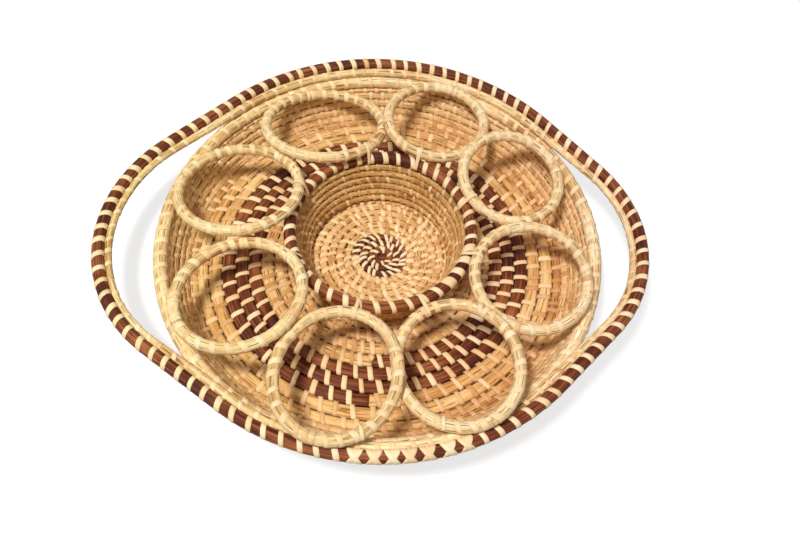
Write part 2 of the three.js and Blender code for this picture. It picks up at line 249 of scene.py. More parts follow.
def makePalm(name, look):
    paint = Paint(bpy.data.materials.new(name))
    uv = paint.add("ShaderNodeUVMap", {"uv_map": "coil"}, {})
    veins = paint.grain(uv, *look["vein"])
    patches = paint.grain(uv, *look["patch"])
    tone = paint.mark("tint") * look["tint"] + patches * look["patches"] + veins * look["veins"]
    colours = look["worn"], look["straw"], look["pale"]
    colour = paint.ramp(tone - look["darker"], list(zip(look["stops"], colours)))
    return finishSurface(paint, colour, patches, veins, veins, look)


materials = {name: makeFibre(name + "Coil", look) for name, look in fibre.items()}
materials["palm"] = makePalm("palmStrip", palm)
print("materials made")


# Coil lines

class Station:  # one cross-section: its middle, two directions and half sizes
    def __init__(self, centre, out, up, halfWidth, halfThick):
        self.centre, self.out, self.up = centre, out, up
        self.halfWidth, self.halfThick = halfWidth, halfThick

    def mixed(self, other, share):
        return Station(
            self.centre.lerp(other.centre, share), self.out.lerp(other.out, share).normalized(),
            self.up.lerp(other.up, share).normalized(),
            mix(self.halfWidth, other.halfWidth, share),
            mix(self.halfThick, other.halfThick, share))

    def skin(self, turn, lift, square):  # a point of the surface; square is 2 for a round section
        c, s = math.cos(turn), math.sin(turn)
        across = math.copysign(abs(c) ** (2 / square), c) * (self.halfWidth + lift)
        high = math.copysign(abs(s) ** (2 / square), s) * (self.halfThick + lift)
        return self.centre + self.out * across + self.up * high


class CoilLine:  # a coil's run, cut into even steps
    def __init__(self, points, spacing, square, closed=False):
        points = points + points[:1] if closed else points
        self.closed, self.square = closed, square
        self.runs = [0.0]
        for here, there in zip(points, points[1:]):
            self.runs.append(self.runs[-1] + (there.centre - here.centre).length)
        self.length = self.runs[-1]
        self.count = max(tray["leastSteps"], round(self.length / spacing))
        self.step = self.length / self.count
        self.stations, k = [], 0
        for i in range(self.count + 1):
            target = min(i * self.step, self.length)
            while k < len(self.runs) - 2 and self.runs[k + 1] < target:
                k += 1
            share = (target - self.runs[k]) / max(self.runs[k + 1] - self.runs[k], 1e-9)
            self.stations.append(points[k].mixed(points[k + 1], min(share, 1.0)))

    def at(self, distance):
        if self.closed:
            distance %= self.length
        place = min(max(distance / self.step, 0.0), self.count)
        k = min(int(place), self.count - 1)
        return self.stations[k].mixed(self.stations[k + 1], place - k)

    def distanceAt(self, rawPlace):  # how far along the line a station of the first list lies
        k = min(max(int(rawPlace), 0), len(self.runs) - 2)
        return mix(self.runs[k], self.runs[k + 1], rawPlace - k)


def levelStation(angle, radius, height, lean, halfWidth, halfThick, middle=Vector((0, 0, 0))):
    outward = Vector((math.cos(angle), math.sin(angle), 0))
    return Station(
        middle + outward * radius + zAxis * height,
        outward * math.cos(lean) + zAxis * math.sin(lean),
        zAxis * math.cos(lean) - outward * math.sin(lean), halfWidth, halfThick)


# Mesh helpers

def newMesh():
    bm = bmesh.new()
    # tint carries the fibre's own tone; crease carries painted shade for the creases between parts
    marks = bm.verts.layers.float.new("tint"), bm.verts.layers.float.new("crease")
    return bm, bm.loops.layers.uv.new("coil"), *marks


def finishPiece(bm, name, material, nodes):
    bmesh.ops.remove_doubles(bm, verts=bm.verts, dist=tray["weld"])
    ends = [edge for edge in bm.edges if edge.is_boundary]
    if ends:
        bmesh.ops.holes_fill(bm, edges=ends, sides=0)
    bmesh.ops.recalc_face_normals(bm, faces=bm.faces)
    bmesh.ops.translate(bm, verts=bm.verts, vec=tray["shift"] * mm)
    mesh = bpy.data.meshes.new(name)
    bm.to_mesh(mesh)
    bm.free()
    mesh.materials.append(materials[material])
    piece = bpy.data.objects.new(name, mesh)
    bpy.context.scene.collection.objects.link(piece)
    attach(piece, "root")
    if nodes:
        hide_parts(*nodes)


# A coil's surface: a grid rolled round the line. The bundle swells between its sewn strips.
uneven = {  # scales of the noise, and how far along it a coil may start
    "along": 0.035, "round": 2.6, "lumpAlong": 0.09, "tintAlong": 0.02, "tintRow": 1.7,
    "start": 50,
}


def windCoil(name, line, spots, look, material, nodes):
    bm, uvLayer, tintLayer, creaseShadeLayer = newMesh()
    grid = bmesh.ops.create_grid(bm, x_segments=line.count, y_segments=look["sides"], size=0.5)
    middle = line.stations[line.count // 2]
    girth = math.pi * (middle.halfWidth + middle.halfThick)
    shift = random.uniform(0, uneven["start"])
    for face in bm.faces:
        face.smooth = True
        for loop in face.loops:
            x, y = loop.vert.co.x + 0.5, loop.vert.co.y + 0.5
            loop[uvLayer].uv = ((x * line.length + shift) * mm, (y * girth + shift) * mm)
    places, nearest, pinches = sorted(spot["at"] for spot in spots), 0, []
    for k in range(line.count + 1):
        along = k * line.step
        while (nearest < len(places) - 1
               and abs(places[nearest + 1] - along) < abs(places[nearest] - along)):
            nearest += 1
        away = abs(places[nearest] - along) / look["pinchReach"]
        pinches.append(look["pinch"] * math.exp(-(away ** 2)))
    for vert in grid["verts"]:
        k = round((vert.co.x + 0.5) * line.count)
        along = 0.0 if line.closed and k == line.count else k * line.step
        turn = math.pi + (vert.co.y + 0.5) * fullTurn
        around = math.cos(turn) * uneven["round"], math.sin(turn) * uneven["round"]
        ridges = noise.noise(Vector((along * uneven["along"] + shift, *around)))
        lumps = noise.noise(Vector((along * uneven["lumpAlong"], shift, math.cos(turn))))
        lift = look["ridge"] * ridges + look["lump"] * lumps - pinches[k]
        tint = noise.noise(Vector((along * uneven["tintAlong"], shift * uneven["tintRow"], 0)))
        # Painted light and shade: the tint rises along the coil, so the wall's top laps are paler
        # and the lower ones darker
        vert[tintLayer] = 0.5 + 0.5 * tint + look["paler"] * along / line.length
        # Painted shade: darker on the coil's sides, where it presses into the next lap
        vert[creaseShadeLayer] = abs(math.cos(turn)) ** look["creaseSharp"] * look["crease"]
        vert.co = line.stations[k].skin(turn, lift, line.square) * mm
        vert.co.z = max(vert.co.z, tray["underside"] * mm)
    finishPiece(bm, name, material, nodes)


# Palm strips. The section gives shares of a strip's width and thickness, from a lower corner round.
strip = {
    "section": [(-0.5, -0.7), (-0.42, 0.5), (0.42, 0.5), (0.5, -0.7), (-0.5, -0.7)],
    "broad": (1, 3),  # the outer and the inner face, smooth between crisp edges
    "start": 400, "ahead": 0.1, "halfSpan": 0.5,
}
sewn = {  # what the sewn strips have in common unless a coil says otherwise
    "around": 14, "bite": 0, "crease": 1.0, "creaseSharp": 3, "tintStray": 0.17,
    "widthSpan": (0.86, 1.14), "first": 0.5, "startLap": 0.01, "endGap": 1, "stagger": 0.5,
}
# Painted crease shade is left off coils that stand free
sewnBare = {**sewn, "crease": 0.0}  # on coils that stand free


def addBand(bm, layers, frames, width, thick, tint, closed, creaseShades=None):
    # A frame is a point of the strip's middle line, with its outward and sideways directions
    uvLayer, tintLayer, creaseShadeLayer = layers
    section, sides = strip["section"], len(strip["section"]) - 1
    steps = len(frames) if closed else len(frames) - 1
    grid = bmesh.ops.create_grid(bm, x_segments=steps, y_segments=sides, size=0.5)
    shift = random.uniform(0, strip["start"])
    length = sum((there[0] - here[0]).length for here, there in zip(frames, frames[1:]))
    for face in {face for vert in grid["verts"] for face in vert.link_faces}:
        face.smooth = math.floor((face.calc_center_median().y + 0.5) * sides) in strip["broad"]
        for loop in face.loops:
            along = (loop.vert.co.x + 0.5) * length
            across = section[round((loop.vert.co.y + 0.5) * sides)][0] * width
            loop[uvLayer].uv = ((along + shift) * mm, (across + shift) * mm)
    for vert in grid["verts"]:
        k = round((vert.co.x + 0.5) * steps) % len(frames)
        across, high = section[round((vert.co.y + 0.5) * sides)]
        middle, outward, side = frames[k]
        vert[tintLayer] = tint
        # Painted shade on the strip's lower faces, which darkens its edges, and where it dips into
        # a crease
        vert[creaseShadeLayer] = max(creaseShades[k] if creaseShades else 0.0, 1.0 if high < 0 else 0.0)
        vert.co = (middle + side * (across * width) + outward * (high * thick)) * mm
        vert.co.z = max(vert.co.z, 0)


def stripDistance(spot, turn):  # it slants from the crease behind to the crease ahead
    return spot["at"] + spot["slant"] / 2 * math.cos(turn - spot["phase"])


def stripMiddle(line, spot, look, turn, out):  # over the coil, and a bite into the lap before
    lift = look["lift"] + spot["raised"]
    over = line.at(stripDistance(spot, turn)).skin(turn, lift, line.square)
    return over - out * (look["bite"] * max(0, -math.cos(turn)))


def sewStrips(name, line, spots, look):
    bm, *layers = newMesh()
    for spot in spots:
        frames, creaseShades = [], []
        for k in range(look["around"]):
            turn = fullTurn * k / look["around"]
            distance = stripDistance(spot, turn)
            station = line.at(distance)
            ahead, behind = [line.at(distance + way * strip["halfSpan"]) for way in (1, -1)]
            middle = stripMiddle(line, spot, look, turn, station.out)
            further = stripMiddle(line, spot, look, turn + strip["ahead"], station.out)
            forward = (further - middle).normalized()
            along = (ahead.centre - behind.centre).normalized()
            outward = forward.cross(along).normalized()
            if outward.dot(middle - station.centre) < 0:
                outward = -outward
            frames.append((middle, outward, outward.cross(forward).normalized()))
            # Painted shade where the strip runs down into the crease between laps
            creaseShades.append(abs(math.cos(turn)) ** look["creaseSharp"] * look["crease"])
        addBand(bm, layers, frames, spot["width"], look["thick"], spot["tint"], True, creaseShades)
    finishPiece(bm, name, "palm", [])


def makeSpots(places, look):
    spots = []
    for place in places:
        share = clampShare(place, 0, max(places))
        tint = mix(look["tint"], look.get("tintEnd", look["tint"]), share)
        spots.append({
            "at": place + random.gauss(0, look["stray"]),
            "slant": look["slant"] + random.gauss(0, look["slantStray"]),
            "width": look["width"] * random.uniform(*look["widthSpan"]),
            "tint": random.gauss(tint, look["tintStray"]),
            "phase": 0, "raised": 0,
        })
    return spots


def evenSpots(line, look):
    count = look["count"]
    return makeSpots([line.length * (k + look["first"]) / count for k in range(count)], look)


# The long coil of floor and wall
floor = {
    "knotRadius": 5, "thickness": 9, "fineWidth": 6.7, "wideWidth": 11.6, "knotLaps": 2.25,
    "fineLaps": 7, "wideningLaps": 2, "bandStart": 11.5, "bandLaps": 3, "outerLaps": 2,
}
wall = {
    "footRadius": 169, "bendRadius": 17, "lean": math.radians(68), "width": 7.6, "thickness": 8,
    "laps": 6, "narrowingLaps": 1.25, "narrowingLead": 0.75,
}
startAngle = math.radians(89.2)
lapSteps = 96
outerStart = floor["bandStart"] + floor["bandLaps"]
wallStart = outerStart + floor["outerLaps"]
wallEnd = wallStart + wall["laps"]


def narrowing(lap):
    return clampShare(lap, wallStart - wall["narrowingLead"], wall["narrowingLaps"])


def lapWidth(lap):
    widening = clampShare(lap, floor["fineLaps"], floor["wideningLaps"])
    return mix(mix(floor["fineWidth"], floor["wideWidth"], widening), wall["width"], narrowing(lap))


def lapThickness(lap):
    return mix(floor["thickness"], wall["thickness"], narrowing(lap))


def floorAndWallLine(reach):  # radius, height and lean at a distance along floor and wall
    past = reach - wall["footRadius"]
    if past <= 0:
        return reach, floor["thickness"] / 2, 0.0
    lean, bend = wall["lean"], wall["bendRadius"]
    bent = min(past / bend, lean)
    straight = max(past - bend * lean, 0)
    return (wall["footRadius"] + bend * math.sin(bent) + straight * math.cos(lean),
            floor["thickness"] / 2 + bend * (1 - math.cos(bent)) + straight * math.sin(lean), bent)


coilReach = []
for k in range(round(wallEnd * lapSteps) + 1):
    beside = (lapWidth(k / lapSteps) + lapWidth(k / lapSteps - 1)) / 2 + tray["lapGap"]
    first = floor["knotRadius"] + tray["pieceGap"] + floor["fineWidth"] / 2
    first += k / lapSteps * (floor["fineWidth"] + tray["lapGap"])
    coilReach.append(coilReach[k - lapSteps] + beside if k >= lapSteps else first)
taperStart = round((wallEnd - 1) * lapSteps)
wallTopReach = coilReach[taperStart] + wall["width"] / 2

floorShift = {"knot": Vector((3.0, -1.0, 0)), "until": 64}  # the knot lies a little off the middle


def shiftAt(reach):
    return floorShift["knot"] * (1 - clampShare(reach, 0, floorShift["until"]))


def longCoil(fromLap, toLap):
    stations = []
    for k in range(round(fromLap * lapSteps), round(toLap * lapSteps) + 1):
        reach, width = coilReach[k], lapWidth(k / lapSteps)
        if k > taperStart:
            lower = coilReach[k - lapSteps] + wall["width"] / 2 + tray["lapGap"]
            reach, width = (wallTopReach + lower) / 2, wallTopReach - lower
        if width < tray["leastWidth"]:
            break
        stations.append(levelStation(
            startAngle + fullTurn * k / lapSteps, *floorAndWallLine(reach),
            (width + tray["lapGap"] + tray["pressed"]) / 2, lapThickness(k / lapSteps) / 2,
            shiftAt(reach)))
    return stations


def lapSpots(line, fromLap, toLap, look):  # half a spot is left over, so the rows stagger
    places, lap = [], fromLap + look["startLap"]
    while lap < toLap:
        places.append(line.distanceAt((lap - fromLap) * lapSteps))
        radius = coilReach[min(round(lap * lapSteps), len(coilReach) - 1)]
        lap += 1 / (look.get("perLap")
                    or math.floor(fullTurn * radius / look["spacing"]) + look["stagger"])
    return makeSpots([place for place in places if place < line.length - look["endGap"]], look)


longCoilParts = {
    "knot_pine_coil": {
        **sewn, "winding": "knot_pine_winding", "laps": (0, floor["knotLaps"]), "fibre": "pine",
        "spacing": 6.9, "width": 3.0, "slant": 4.6, "slantStray": 1.2, "stray": 0.9,
        "tint": 0.9, "lift": 0.12, "thick": 0.6, "creaseSharp": 2.0,
    },
    "floor_grass_coil": {
        **sewn, "winding": "floor_grass_winding", "laps": (floor["knotLaps"], floor["bandStart"]),
        "fibre": "golden", "spacing": 8.6, "width": 4.4, "slant": 2.8, "slantStray": 1.1,
        "stray": 1.0, "tint": 0.42, "tintEnd": 0.16, "tintStray": 0.2,
        "lift": 0.08, "thick": 0.5, "bite": 1.2,
    },
    "floor_pine_band": {
        **sewn, "winding": "floor_pine_band_winding", "laps": (floor["bandStart"], outerStart),
        "fibre": "pine", "perLap": 53.5, "width": 4.8, "slant": 2.8, "slantStray": 0.7,
        "stray": 0.7, "tint": 0.62, "lift": 0.1, "thick": 0.6, "bite": 1.3,
    },
    "floor_outer_grass_coil": {
        **sewn, "winding": "floor_outer_grass_winding", "laps": (outerStart, wallStart),
        "fibre": "golden", "perLap": 66.5, "width": 4.9, "slant": 2.8, "slantStray": 1.1,
        "stray": 1.4, "tint": 0.24, "tintStray": 0.2, "lift": 0.06, "thick": 0.5, "bite": 1.5,
    },
    # Painted light and shade: coil and strips grow paler up the wall towards the top laps
    "wall_grass_coil": {
        **sewn, "winding": "wall_grass_winding", "laps": (wallStart, wallEnd), "paler": 1.1,
        "fibre": "wall", "perLap": 88.5, "width": 4.6, "slant": 1.5, "slantStray": 0.9,
        "stray": 1.2, "tint": 0.04, "tintEnd": 0.6, "tintStray": 0.14,
        "lift": 0.08, "thick": 0.5, "bite": 1.3,
    },
}
lapSkin = {
    "sides": 18, "pinch": 0.35, "pinchReach": 2.8, "ridge": 0.3, "lump": 0.3, "paler": 0,
    "crease": 1.0, "creaseSharp": 2.4,
}
random.seed(7)

for name, part in longCoilParts.items():
    line = CoilLine(longCoil(*part["laps"]), spacing=2.8, square=2.6)
    spots = lapSpots(line, *part["laps"], part)
    skin = {**lapSkin, "paler": part.get("paler", lapSkin["paler"])}
    windCoil(part["winding"], line, spots, skin, part["fibre"], [name])
    sewStrips(name + "_stitches", line, spots, part)
    print(name, round(line.length), "mm,", len(spots), "stitches")

# Start knot: a small end, and the first turn of the coil that fills the space beside it
knot = {
    "radius": 5.2, "firstStep": 12, "sunk": 0.8, "spread": 0.2, "spacing": 7.5, "leastPlace": 2,
    "segments": 20, "rings": 12, "bulge": 0.06, "bulgeScale": 2.5, "flatten": 0.4, "height": 0.96,
    "uvSize": 0.006, "tint": 0.4,
}
knotStitch = {
    **sewn, "count": 4, "first": 0.3, "width": 2.4, "slant": 3.6, "slantStray": 1.2, "stray": 0.8,
    "tint": 0.9, "lift": 0.15, "thick": 0.6, "creaseSharp": 2.2,
}
halfFloor = floor["thickness"] / 2
knotStations = []
for k in range(knot["firstStep"], lapSteps + 1):
    outer = knot["radius"] + (floor["fineWidth"] + tray["lapGap"]) * k / lapSteps
    inner = knot["radius"] - knot["sunk"]
    knotStations.append(levelStation(
        startAngle + fullTurn * (k - lapSteps) / lapSteps, (outer + inner) / 2, halfFloor, 0,
        (outer - inner) / 2 + knot["spread"], halfFloor, shiftAt(outer)))
line = CoilLine(knotStations, spacing=1.6, square=2.4)
places = [line.length - knot["spacing"] * (i + knotStitch["first"])
          for i in range(knotStitch["count"])]
spots = [spot for spot in makeSpots(places, knotStitch) if spot["at"] > knot["leastPlace"]]
windCoil("start_knot_turn", line, spots, lapSkin, "pine", ["start_knot"])
sewStrips("start_knot_stitches", line, spots, knotStitch)

bm, uvLayer, tintLayer = newMesh()[:3]
bmesh.ops.create_uvsphere(bm, u_segments=knot["segments"], v_segments=knot["rings"], radius=1.0)
for face in bm.faces:
    face.smooth = True
    for loop in face.loops:
        loop[uvLayer].uv = (loop.vert.co.x * knot["uvSize"], loop.vert.co.y * knot["uvSize"])
for vert in bm.verts:
    bulge = 1 + knot["bulge"] * noise.noise(vert.co * knot["bulgeScale"])
    flat = math.copysign(abs(vert.co.z) ** knot["flatten"], vert.co.z)
    vert.co.x = (vert.co.x * knot["radius"] * bulge + shiftAt(0).x) * mm
    vert.co.y = (vert.co.y * knot["radius"] * bulge + shiftAt(0).y) * mm
    vert.co.z = halfFloor * (1 + flat * knot["height"]) * mm
    vert[tintLayer] = knot["tint"]
finishPiece(bm, "start_knot_end", "pine", [])

# Centre bowl
bowl = {
    "footRadius": 66.6, "lean": math.radians(71.5), "width": 6.45, "thickness": 7.6, "laps": 6,
    "rimRadius": 5.4,
}
bowlStitch = {
    **sewn, "perLap": 46.5, "width": 3.6, "slant": 2.2, "slantStray": 0.9, "stray": 0.8,
    "tint": 0.0, "tintStray": 0.2, "lift": 0.06, "thick": 0.4, "bite": 0.8,
}
bowlPitch = bowl["width"] + tray["lapGap"]
bowlTop = bowl["laps"] * bowlPitch


def bowlLine(reach):  # radius and height at a distance up the bowl's wall
    lean = bowl["lean"]
    foot = floor["thickness"] + tray["pieceGap"] + bowl["thickness"] / 2 * math.cos(lean)
    return bowl["footRadius"] + reach * math.cos(lean), foot + reach * math.sin(lean)


bowlStations = []
for k in range((bowl["laps"] + 1) * lapSteps + 1):
    lower = max((k / lapSteps - 1) * bowlPitch, 0)
    upper = min(k / lapSteps * bowlPitch, bowlTop)
    width = upper - lower - tray["lapGap"]
    if width >= tray["leastWidth"]:
        bowlStations.append(levelStation(
            startAngle + fullTurn * k / lapSteps, *bowlLine((upper + lower) / 2), bowl["lean"],
            (width + tray["lapGap"] + tray["pressed"]) / 2, bowl["thickness"] / 2))
line = CoilLine(bowlStations, spacing=2.6, square=2.3)
perLap = bowlStitch["perLap"]
count = math.floor((len(bowlStations) - 1) / lapSteps * perLap)
spots = makeSpots([line.distanceAt(i / perLap * lapSteps) for i in range(1, count)], bowlStitch)
windCoil("bowl_wall_winding", line, spots, lapSkin, "bowl", ["bowl_wall_coil"])
sewStrips("bowl_wall_stitches", line, spots, bowlStitch)

bowlRimPlace = bowlLine(bowlTop + tray["pieceGap"] + bowl["rimRadius"])
roundSkin = {
    "sides": 16, "pinch": 0.2, "pinchReach": 3.0, "ridge": 0.25, "lump": 0.25, "paler": 0,
    "crease": 0.0, "creaseSharp": 3,
}


def roundLine(place, coilRadius, steps):
    stations = [levelStation(fullTurn * k / steps, *place, 0, coilRadius, coilRadius)
                for k in range(steps)]
    return CoilLine(stations, spacing=2.8, square=2.0, closed=True)


def bearing(line, spot):  # degrees round the tray
    place = line.at(spot["at"]).centre
    return math.degrees(math.atan2(place.y, place.x))


bowlRimWide = {"from": -52, "to": -12, "wider": 1.65}  # sewn closely here, where the strip ends
bowlRimStitch = {
    **sewnBare, "count": 38, "width": 4.9, "slant": 3.8, "slantStray": 0.6, "stray": 0.6,
    "tint": 0.72, "lift": 0.1, "thick": 0.6,
}
line = roundLine(bowlRimPlace, bowl["rimRadius"], steps=180)
spots = evenSpots(line, bowlRimStitch)
for spot in spots:
    if bowlRimWide["from"] < bearing(line, spot) < bowlRimWide["to"]:
        spot["width"] *= bowlRimWide["wider"]
windCoil("bowl_rim_winding", line, spots, roundSkin, "pine", ["bowl_rim_pine_coil"])
sewStrips("bowl_rim_stitches", line, spots, bowlRimStitch)
print("bowl made")

# Edge coil and the two rim coils
rim = {
    "edgeRadius": 5.75, "grassRadius": 4.0, "pineRadius": 5.3,
    "grassLean": math.radians(68), "pineLean": math.radians(27), "arcStep": math.radians(1.5),
}
leftHandle = {"side": -1, "bow": 36.3, "endRadius": 141, "y": -11.8}
rightHandle = {"side": 1, "bow": 27.4, "endRadius": 129, "y": -3.2}


def beyond(place, lean, distance):
    return place[0] + distance * math.cos(lean), place[1] + distance * math.sin(lean)


edgePlace = floorAndWallLine(wallTopReach + tray["pieceGap"] + rim["edgeRadius"])[:2]
grassPlace = beyond(edgePlace, rim["grassLean"],
                    rim["edgeRadius"] + rim["grassRadius"] + tray["pieceGap"])
pinePlace = beyond(grassPlace, rim["pineLean"],
                   rim["grassRadius"] + rim["pineRadius"] + tray["pieceGap"])


def handleMiddle(handle):
    return handle["side"] * (pinePlace[0] + handle["bow"] - handle["endRadius"]), handle["y"]


def leavesRound(handle, way):  # the angle at which the rim leaves its circle for a handle
    x, y = handleMiddle(handle)
    swing = math.acos((pinePlace[0] - handle["endRadius"]) / math.hypot(x, y))
    return math.atan2(y, x) + way * swing


def rimLine(place, coilRadius):
    inset, stations = pinePlace[0] - place[0], []

    def arc(centre, radius, start, end):
        steps = max(tray["leastSteps"], round((end - start) / rim["arcStep"]))
        for k in range(steps + 1):
            stations.append(levelStation(
                mix(start, end, k / steps), radius - inset, place[1], 0, coilRadius, coilRadius,
                Vector((*centre, 0))))

    rightBack, rightFront = leavesRound(rightHandle, 1), leavesRound(rightHandle, -1) % fullTurn
    leftBack, leftFront = [leavesRound(leftHandle, way) % fullTurn for way in (-1, 1)]
    arc((0, 0), pinePlace[0], rightBack, leftBack)
    arc(handleMiddle(leftHandle), leftHandle["endRadius"], leftBack, leftFront)
    arc((0, 0), pinePlace[0], leftFront, rightFront)
    arc(handleMiddle(rightHandle), rightHandle["endRadius"], rightFront, rightBack + fullTurn)
    return CoilLine(stations, spacing=2.8, square=2.0, closed=True)


edgeStitch = {
    **sewnBare, "count": 88, "width": 5.2, "slant": 3.6, "slantStray": 0.8, "stray": 0.9,
    "tint": 0.62, "lift": 0.05, "thick": 0.5,
}
edgeFuller = 0.3  # so that no light shows under the next coil
line = roundLine(edgePlace, rim["edgeRadius"] + edgeFuller, steps=360)
spots = evenSpots(line, edgeStitch)
windCoil("tray_edge_winding", line, spots, roundSkin, "straw", ["tray_edge_coil"])
sewStrips("tray_edge_stitches", line, spots, edgeStitch)

rimGrassStitch = {
    **sewnBare, "around": 12, "count": 96, "width": 4.2, "slant": 3.0, "slantStray": 0.8,
    "stray": 1.2, "tint": 0.55, "lift": 0.0, "thick": 0.4,
}
rimGrassFit = {  # pressed to the pine coil, and thinner along the handles
    "fuller": 0.1, "towardPine": 0.1, "thinFrom": 150, "thinOver": 60, "thinner": 0.8,
    "closer": 0.6,
}
line = rimLine(beyond(grassPlace, rim["pineLean"], rimGrassFit["towardPine"]),
               rim["grassRadius"] + rimGrassFit["fuller"])
for station in line.stations:
    share = clampShare(abs(station.centre.x), rimGrassFit["thinFrom"], rimGrassFit["thinOver"])
    station.halfWidth -= share * rimGrassFit["thinner"]
    station.halfThick -= share * rimGrassFit["thinner"]
    toPine = station.out * math.cos(rim["pineLean"]) + zAxis * math.sin(rim["pineLean"])
    station.centre += toPine * (share * (rimGrassFit["thinner"] + rimGrassFit["closer"]))
spots = evenSpots(line, rimGrassStitch)
windCoil("rim_grass_winding", line, spots, roundSkin, "straw", ["rim_grass_coil"])
sewStrips("rim_grass_stitches", line, spots, rimGrassStitch)

rimPineStitch = {
    **sewnBare, "count": 98, "first": 0.7, "width": 4.9, "slant": 3.6, "slantStray": 0.6,
    "stray": 0.7, "tint": 0.85, "lift": 0.08, "thick": 0.55,
}
rimCross = {"from": -94.5, "to": -68, "slant": 8.4, "width": 4.9, "phase": math.radians(-32),
            "under": -0.1, "over": 0.15}  # where three strips cross and leave dark lozenges
line = rimLine(pinePlace, rim["pineRadius"])
spots = []
for spot in evenSpots(line, rimPineStitch):
    if rimCross["from"] < bearing(line, spot) < rimCross["to"]:
        crossed = {**spot, **{key: rimCross[key] for key in ("slant", "width", "phase")}}
        spots += [{**crossed, "slant": 0.0, "raised": rimCross["under"]},
                  {**crossed, "slant": -crossed["slant"]}, {**crossed, "raised": rimCross["over"]}]
    else:
        spots.append(spot)
pineSkin = {**roundSkin, "ridge": 0.12, "lump": 0.14}
windCoil("rim_pine_winding", line, spots, pineSkin, "pine", ["rim_pine_coil"])
sewStrips("rim_pine_stitches", line, spots, rimPineStitch)
print("rim made")

# Ring compartments and their lashings
ring = {
    "coilRadius": 5.0, "steps": 96, "stitchSpacing": 12.2,
    "ovals": [
        {"angle": 26.5, "out": 134, "height": 63, "along": 47, "across": 46,
         "tilt": 3.5, "roll": 11},
        {"angle": 69, "out": 137, "height": 62, "along": 50, "across": 47.5,
         "tilt": 5, "roll": 2.5},
        {"angle": 117, "out": 132.5, "height": 58.5, "along": 54.5, "across": 57.5,
         "tilt": 11.5, "roll": 8},
        {"angle": 166.5, "out": 135.5, "height": 61.5, "along": 56, "across": 51.5,
         "tilt": 6.5, "roll": 5},
        {"angle": 214.5, "out": 139.5, "height": 64.5, "along": 53.5, "across": 54,
         "tilt": 2, "roll": 8.5},
        {"angle": 259, "out": 148.5, "height": 64.5, "along": 56, "across": 48.5,
         "tilt": -3.5, "roll": -1.5},
        {"angle": 297, "out": 147.5, "height": 62, "along": 55, "across": 48,
         "tilt": -6.5, "roll": 11.5},
        {"angle": 341, "out": 140.5, "height": 59.5, "along": 49.5, "across": 52,
         "tilt": 2.5, "roll": 0},
    ],
}
ringStitch = {
    **sewnBare, "width": 5.2, "slant": 3.2, "slantStray": 1.2, "stray": 1.3, "tint": 0.6,
    "lift": 0.03, "thick": 0.4,
}
lashing = {
    "width": 3.6, "thick": 0.5, "lift": 0.25, "tint": 0.7, "tintStray": 0.1,
    "widthSpan": (0.9, 1.1), "steps": 12, "wallEnd": 7.5, "leastArc": 0.1, "leastOpening": 0.35,
    "rimStart": math.radians(195), "ringEnd": math.radians(-55),
}
pairLashing = {**lashing, "width": 4.4, "tint": 0.6}
search = {"rounds": 9, "reach": 8, "narrowing": 4, "nudge": 0.001}


def levelPlace(place):  # the middle line of a level round coil, as a place for each angle
    return lambda angle: Vector((place[0] * math.cos(angle), place[0] * math.sin(angle), place[1]))


def seatOf(oval):
    aim, tilt, roll = [Matrix.Rotation(math.radians(oval[key]), 4, axis)
                       for key, axis in (("angle", "Z"), ("tilt", "Y"), ("roll", "X"))]
    return aim @ Matrix.Translation((oval["out"], 0, oval["height"])) @ tilt @ roll


def ovalPlace(oval):
    seat, along, across = seatOf(oval), oval["along"], oval["across"]
    return lambda angle: seat @ Vector((along * math.cos(angle), across * math.sin(angle), 0))


# Where two coils come nearest, as in the solids: a wide search narrows round the best two angles
def meeting(firstLine, secondLine):
    best, span, reach = (math.inf, 0.0, 0.0), math.pi, search["reach"]
    for attempt in range(search["rounds"]):
        first, second = best[1:]
        offsets = [span * i / reach for i in range(-reach, reach + 1)]
        for firstOffset in offsets:
            here = firstLine(first + firstOffset)
            for secondOffset in offsets:
                gap = (here - secondLine(second + secondOffset)).length
                if gap < best[0]:
                    best = gap, first + firstOffset, second + secondOffset
        span /= search["narrowing"]
    gap, first, second = best
    origin, nudge = firstLine(first), search["nudge"]
    across = (secondLine(second) - origin).normalized()
    firstWay = (firstLine(first - nudge) - firstLine(first + nudge)).normalized()
    secondWay = (secondLine(second - nudge) - secondLine(second + nudge)).normalized()
    if firstWay.dot(secondWay) < 0:
        secondWay = -secondWay
    along = firstWay + secondWay
    along = (along - across * along.dot(across)).normalized()
    return {"origin": origin, "across": across, "high": along.cross(across), "gap": gap,
            "turn": firstWay.angle(secondWay) / 2}


def arcPath(centre, radius, start, end):
    path = []
    for k in range(lashing["steps"] + 1):
        angle = mix(start, end, k / lashing["steps"])
        facing = (math.cos(angle), math.sin(angle))
        path.append(((centre + radius * facing[0], radius * facing[1]), facing))
    return path


def stripReach(coilRadius, turn):
    return coilRadius / math.cos(turn) + lashing["width"] / 2 * math.tan(turn) + lashing["lift"]


def lash(bm, layers, path, meet, closed, look):
    across, high = meet["across"], meet["high"]
    frames = [(meet["origin"] + across * place[0] + high * place[1],
               across * facing[0] + high * facing[1], across.cross(high)) for place, facing in path]
    tint = min(max(random.gauss(look["tint"], look["tintStray"]), 0), 1)
    width = look["width"] * random.uniform(*look["widthSpan"])
    addBand(bm, layers, frames, width, look["thick"], tint, closed)


